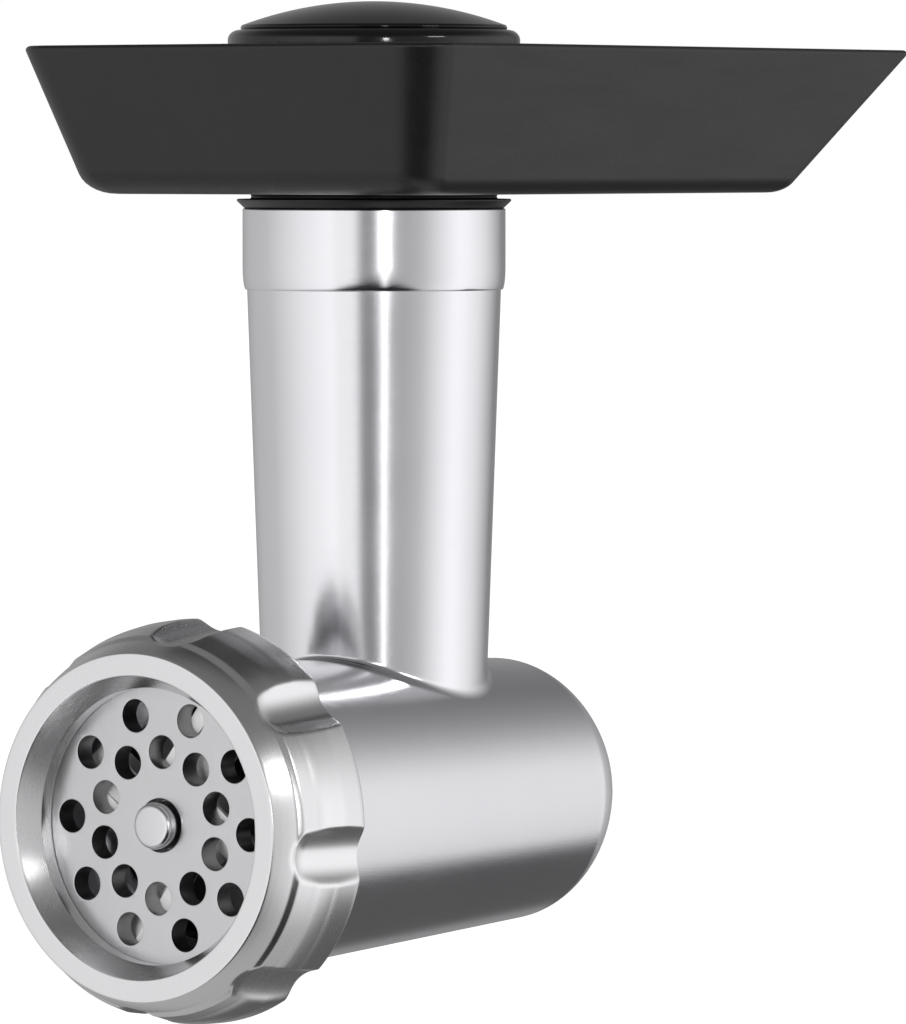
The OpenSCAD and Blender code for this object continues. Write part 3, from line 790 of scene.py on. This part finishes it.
def bump(tree, shader, heights, distance, strength=1.0):
    """Adds the heights up as one bump, with a depth in metres."""
    total = heights[0]
    for height in heights[1:]:
        add = tree.nodes.new("ShaderNodeMath")
        add.operation = "ADD"
        tree.links.new(total, add.inputs[0])
        tree.links.new(height, add.inputs[1])
        total = add.outputs["Value"]
    node = tree.nodes.new("ShaderNodeBump")
    node.inputs["Distance"].default_value = distance
    node.inputs["Strength"].default_value = strength
    tree.links.new(total, node.inputs["Height"])
    tree.links.new(node.outputs["Normal"], shader.inputs["Normal"])


def masked(tree, output, low, high, value):
    """Rises from 0 to value as the size of the piece's Y coordinate goes from low to high."""
    where = tree.nodes.new("ShaderNodeTexCoord")
    split = tree.nodes.new("ShaderNodeSeparateXYZ")
    tree.links.new(where.outputs[output], split.inputs["Vector"])
    size = tree.nodes.new("ShaderNodeMath")
    size.operation = "ABSOLUTE"
    tree.links.new(split.outputs["Y"], size.inputs[0])
    node = tree.nodes.new("ShaderNodeMapRange")
    node.inputs["From Min"].default_value = low
    node.inputs["From Max"].default_value = high
    node.inputs["To Max"].default_value = value
    tree.links.new(size.outputs["Value"], node.inputs["Value"])
    return node.outputs["Result"]


def metal(name, light, dark, rough, grain, depth, grain_scale=900, streak=0.035,
          blasted=None, painted_bore_shade=None):
    """Metal with a fine directional grain, cloudy roughness and faint handling marks. It can be
    blasted behind a distance from the hub shoulder, and have painted shade in its bores: a
    darker colour on walls whose normal lies across the Y axis."""
    material = bpy.data.materials.new(name)
    tree, shader = nodes_of(material)
    shader.inputs["Metallic"].default_value = 1.0
    clouds = noise(tree, 28, 4)
    fine = noise(tree, grain_scale, 3, 0.6, grain)
    speck = noise(tree, 3200, 2, 0.6)
    colour = tint(tree, spread(tree, clouds, 0, 1), dark, light)
    # Painted shade: faces whose normal lies across the Y axis, the bore walls, get the darker
    # colour.
    if painted_bore_shade:
        mix = tree.nodes.new("ShaderNodeMix")
        mix.data_type = "RGBA"
        mix.inputs["A"].default_value = (*painted_bore_shade, 1)
        tree.links.new(colour, mix.inputs["B"])
        tree.links.new(masked(tree, "Normal", 0.3, 0.6, 1.0), mix.inputs["Factor"])
        colour = mix.outputs["Result"]
    tree.links.new(colour, shader.inputs["Base Color"])
    streaks = spread(tree, fine, -streak, streak)
    base = spread(tree, clouds, rough - 0.03, rough + 0.03)
    add = tree.nodes.new("ShaderNodeMath")
    add.operation = "ADD"
    tree.links.new(base, add.inputs[0])
    tree.links.new(streaks, add.inputs[1])
    total = add.outputs["Value"]
    if blasted:
        more = tree.nodes.new("ShaderNodeMath")
        more.operation = "ADD"
        tree.links.new(total, more.inputs[0])
        tree.links.new(masked(tree, "Object", blasted, blasted - 0.0025, 0.3), more.inputs[1])
        total = more.outputs["Value"]
    tree.links.new(total, shader.inputs["Roughness"])
    bump(tree, shader, [fine, speck], depth)
    return material


def plastic(name, light, dark, rough, depth, coat=0.0, specular=0.5):
    """Moulded plastic with a fine texture, slight sheen changes and faint scuffs."""
    material = bpy.data.materials.new(name)
    tree, shader = nodes_of(material)
    clouds = noise(tree, 22, 4)
    pores = noise(tree, 1500, 3, 0.65)
    scuffs = noise(tree, 240, 5, 0.7, (1, 0.15, 1))
    tree.links.new(tint(tree, spread(tree, clouds, 0, 1), dark, light), shader.inputs["Base Color"])
    base = spread(tree, scuffs, rough - 0.05, rough + 0.06)
    tree.links.new(base, shader.inputs["Roughness"])
    shader.inputs["Specular IOR Level"].default_value = specular
    shader.inputs["Coat Weight"].default_value = coat
    shader.inputs["Coat Roughness"].default_value = 0.08
    bump(tree, shader, [pores], depth)
    return material


AROUND_TUBE = (0.25, 0.25, 4.0)
AROUND_BARREL = (0.25, 4.0, 0.25)
EVERY_WAY = (1.0, 1.0, 1.0)

FINISHES = {
    "cast_metal": metal("satin_metal", (0.86, 0.86, 0.88), (0.82, 0.82, 0.845), 0.17,
                        AROUND_TUBE, 0.000008, blasted=0.0095),
    "ring_metal": metal("turned_metal", (0.86, 0.86, 0.865), (0.82, 0.82, 0.825), 0.27,
                        AROUND_BARREL, 0.000002, streak=0.012),
    "worm_metal": metal("cast_worm_metal", (0.3, 0.3, 0.31), (0.22, 0.22, 0.23), 0.45,
                        EVERY_WAY, 0.00008, 500),
    # The plate's bore walls carry painted shade, a darker grey than its faces.
    "plate_steel": metal("ground_steel", (0.72, 0.72, 0.725), (0.66, 0.66, 0.67), 0.36,
                         (1.0, 1.0, 0.12), 0.00002, 1600, painted_bore_shade=(0.3, 0.3, 0.305)),
    "steel": metal("bright_steel", (0.8, 0.8, 0.81), (0.72, 0.72, 0.73), 0.2,
                   AROUND_BARREL, 0.00001),
    "bronze": metal("sintered_bronze", (0.72, 0.55, 0.3), (0.6, 0.44, 0.24), 0.4,
                    EVERY_WAY, 0.00004, 700),
    "tray_plastic": plastic("satin_black", (0.006, 0.006, 0.0062), (0.0045, 0.0045, 0.0047), 0.36,
                            0.00003),
    "gloss_black": plastic("gloss_black", (0.004, 0.004, 0.0042), (0.003, 0.003, 0.0032), 0.1,
                           0.000004),
    "black_plastic": plastic("matt_black", (0.035, 0.035, 0.036), (0.024, 0.024, 0.025), 0.5,
                             0.00004),
    "seal_rubber": plastic("black_rubber", (0.025, 0.025, 0.025), (0.018, 0.018, 0.018), 0.65,
                           0.00005),
    "white_plastic": plastic("white_acetal", (0.8, 0.79, 0.75), (0.72, 0.71, 0.67), 0.45,
                             0.00003),
}


def paint(obj, material):
    """Gives the whole piece one material."""
    obj.data.materials.clear()
    obj.data.materials.append(material)


KNIFE_STEEL = metal("honed_steel", (0.95, 0.95, 0.95), (0.9, 0.9, 0.9), 0.5, EVERY_WAY, 0.00001)
KNIFE_STEEL.node_tree.nodes["Principled BSDF"].inputs["Metallic"].default_value = 0.15

for subpart in frame["record"]["subparts"]:
    name, finish = subpart["node"], FINISHES[subpart["material_slot"]]
    if name == "knife":
        finish = KNIFE_STEEL
    if name in PIECES:
        paint(PIECES[name], finish)
    else:
        cad = frame["nodes"][name]
        for spot in cad.material_slots:
            spot.material = finish


# ---------------------------------------------------------------- studio
# Brightness of the studio at each bearing from +Y toward +X, in degrees.
STUDIO_STOPS = [
    (-180, 1.12), (-150, 0.93), (-130, 0.76), (-108, 0.58), (-75, 0.52), (-36, 0.3),
    (-7, 0.24), (15, 0.6), (30, 0.86), (54, 1.1), (65, 1.12), (83, 0.86), (100, 0.56),
    (116, 0.45), (141, 0.45), (144, 0.26), (154, 0.3), (160, 1.02), (180, 1.12)]
COOL = 1.01             # blue of the studio's greys, as a share of their red and green
LOW_IN_FRONT = (0.45, -0.56, -0.69)     # middle of the dark area low in front


def studio_world():
    """Soft boxes all round: a brightness for each bearing, darker overhead, low behind and in
    a patch low in front."""
    world = bpy.data.worlds.new("studio")
    bpy.context.scene.world = world
    world.use_nodes = True
    tree = world.node_tree
    tree.nodes.clear()
    link = tree.links.new
    where = tree.nodes.new("ShaderNodeTexCoord")
    split = tree.nodes.new("ShaderNodeSeparateXYZ")
    link(where.outputs["Generated"], split.inputs["Vector"])
    bearing = tree.nodes.new("ShaderNodeMath")
    bearing.operation = "ARCTAN2"
    link(split.outputs["X"], bearing.inputs[0])
    link(split.outputs["Y"], bearing.inputs[1])
    share = tree.nodes.new("ShaderNodeMapRange")
    share.inputs["From Min"].default_value = -math.pi
    share.inputs["From Max"].default_value = math.pi
    link(bearing.outputs["Value"], share.inputs["Value"])
    ramp = tree.nodes.new("ShaderNodeValToRGB")
    link(share.outputs["Result"], ramp.inputs["Fac"])
    for number, (degrees, value) in enumerate(STUDIO_STOPS):
        position = (degrees + 180) / 360
        stop = ramp.color_ramp.elements[number] if number < 1 else \
            ramp.color_ramp.elements.new(position)
        stop.position = position
        stop.color = (value, value, value * COOL, 1)

    def blend_to(colour, other, low, high, source):
        """Fades colour into a grey as source goes from low to high."""
        span = tree.nodes.new("ShaderNodeMapRange")
        span.interpolation_type = "SMOOTHSTEP"
        span.inputs["From Min"].default_value = low
        span.inputs["From Max"].default_value = high
        link(source, span.inputs["Value"])
        mix = tree.nodes.new("ShaderNodeMix")
        mix.data_type = "RGBA"
        link(span.outputs["Result"], mix.inputs["Factor"])
        link(colour, mix.inputs["A"])
        mix.inputs["B"].default_value = (other, other, other * COOL, 1)
        return mix.outputs["Result"]

    flip = tree.nodes.new("ShaderNodeMath")
    flip.operation = "MULTIPLY"
    flip.inputs[1].default_value = -1
    link(split.outputs["Z"], flip.inputs[0])
    low_behind = tree.nodes.new("ShaderNodeMath")
    low_behind.operation = "MULTIPLY"
    link(flip.outputs["Value"], low_behind.inputs[0])
    behind = tree.nodes.new("ShaderNodeMapRange")
    behind.inputs["From Min"].default_value = 0.42
    behind.inputs["From Max"].default_value = 0.62
    link(split.outputs["Y"], behind.inputs["Value"])
    link(behind.outputs["Result"], low_behind.inputs[1])
    colour = blend_to(ramp.outputs["Color"], 0.17, 0.15, 0.72, split.outputs["Z"])
    colour = blend_to(colour, 0.45, 0.4, 0.8, flip.outputs["Value"])
    colour = blend_to(colour, 0.1, 0.35, 0.48, low_behind.outputs["Value"])
    low_flag = tree.nodes.new("ShaderNodeVectorMath")
    low_flag.operation = "DOT_PRODUCT"
    low_flag.inputs[1].default_value = LOW_IN_FRONT
    link(where.outputs["Generated"], low_flag.inputs[0])
    colour = blend_to(colour, 0.02, 0.78, 0.9, low_flag.outputs["Value"])

    soft = tree.nodes.new("ShaderNodeBackground")
    link(colour, soft.inputs["Color"])
    white = tree.nodes.new("ShaderNodeBackground")
    white.inputs["Color"].default_value = (1, 1, 1, 1)
    path = tree.nodes.new("ShaderNodeLightPath")
    choose = tree.nodes.new("ShaderNodeMixShader")
    link(path.outputs["Is Camera Ray"], choose.inputs["Fac"])
    link(soft.outputs["Background"], choose.inputs[1])
    link(white.outputs["Background"], choose.inputs[2])
    out = tree.nodes.new("ShaderNodeOutputWorld")
    link(choose.outputs["Shader"], out.inputs["Surface"])


def studio_floor():
    """Plain pale floor, well below the object, which is held by its hub."""
    lowest = cad_box[0].z - 0.09
    mesh = bpy.data.meshes.new("studio_floor")
    half = 30.0
    mesh.from_pydata([(-half, -half, lowest), (half, -half, lowest), (half, half, lowest),
                      (-half, half, lowest)], [], [(0, 1, 2, 3)])
    floor = bpy.data.objects.new("studio_floor", mesh)
    bpy.context.scene.collection.objects.link(floor)
    material = bpy.data.materials.new("pale_floor")
    tree, shader = nodes_of(material)
    shader.inputs["Base Color"].default_value = (0.9, 0.9, 0.9, 1)
    shader.inputs["Roughness"].default_value = 0.9
    shader.inputs["Emission Color"].default_value = (1, 1, 1, 1)
    shader.inputs["Emission Strength"].default_value = 0.85
    floor.data.materials.append(material)
    floor.visible_glossy = False


def soft_box(name, bearing, height, distance, width, tall, power, glossy=True):
    """Area light at a bearing from +Y toward +X and a height, in degrees, aimed at the object's
    middle. It shows in reflections only if glossy is true."""
    light = bpy.data.lights.new(name, "AREA")
    light.shape = "RECTANGLE"
    light.size, light.size_y = width, tall
    light.energy = power
    lamp = bpy.data.objects.new(name, light)
    a, e = math.radians(bearing), math.radians(height)
    away = Vector((math.sin(a) * math.cos(e), math.cos(a) * math.cos(e), math.sin(e)))
    lamp.location = AIM + away * distance
    lamp.rotation_mode = "QUATERNION"
    lamp.rotation_quaternion = away.to_track_quat("Z", "Y")
    lamp.visible_camera = False
    lamp.visible_glossy = glossy
    bpy.context.scene.collection.objects.link(lamp)


def camera():
    """Camera at the photograph's viewing angle."""
    azimuth, elevation = math.radians(CAMERA_AZIMUTH), math.radians(CAMERA_ELEVATION)
    data = bpy.data.cameras.new("camera")
    data.lens = CAMERA_LENS
    data.clip_end = 100
    cam = bpy.data.objects.new("camera", data)
    back = Vector((math.sin(azimuth) * math.cos(elevation),
                   -math.cos(azimuth) * math.cos(elevation), math.sin(elevation)))
    cam.location = AIM + back * CAMERA_DISTANCE
    cam.rotation_mode = "QUATERNION"
    cam.rotation_quaternion = (-back).to_track_quat("-Z", "Y")
    bpy.context.scene.collection.objects.link(cam)
    bpy.context.scene.camera = cam


camera()
studio_world()
studio_floor()
KEY_BEARING, KEY_DISTANCE = 134.2, 2.6
soft_box("key_strip", KEY_BEARING, 0, KEY_DISTANCE, 0.1, 2.0, 1.6)
soft_box("key_spot", KEY_BEARING, 0, KEY_DISTANCE, 0.1, 0.3, 1.3)
soft_box("high_box", KEY_BEARING, 6.5, KEY_DISTANCE, 0.2, 0.3, 4.0)
soft_box("front_fill", 180, 0, 1.2, 0.5, 0.5, 5.5, glossy=False)
soft_box("side_box", 91.4, 25, KEY_DISTANCE, 0.6, 0.4, 6.0)
bpy.context.scene.view_settings.view_transform = "Standard"
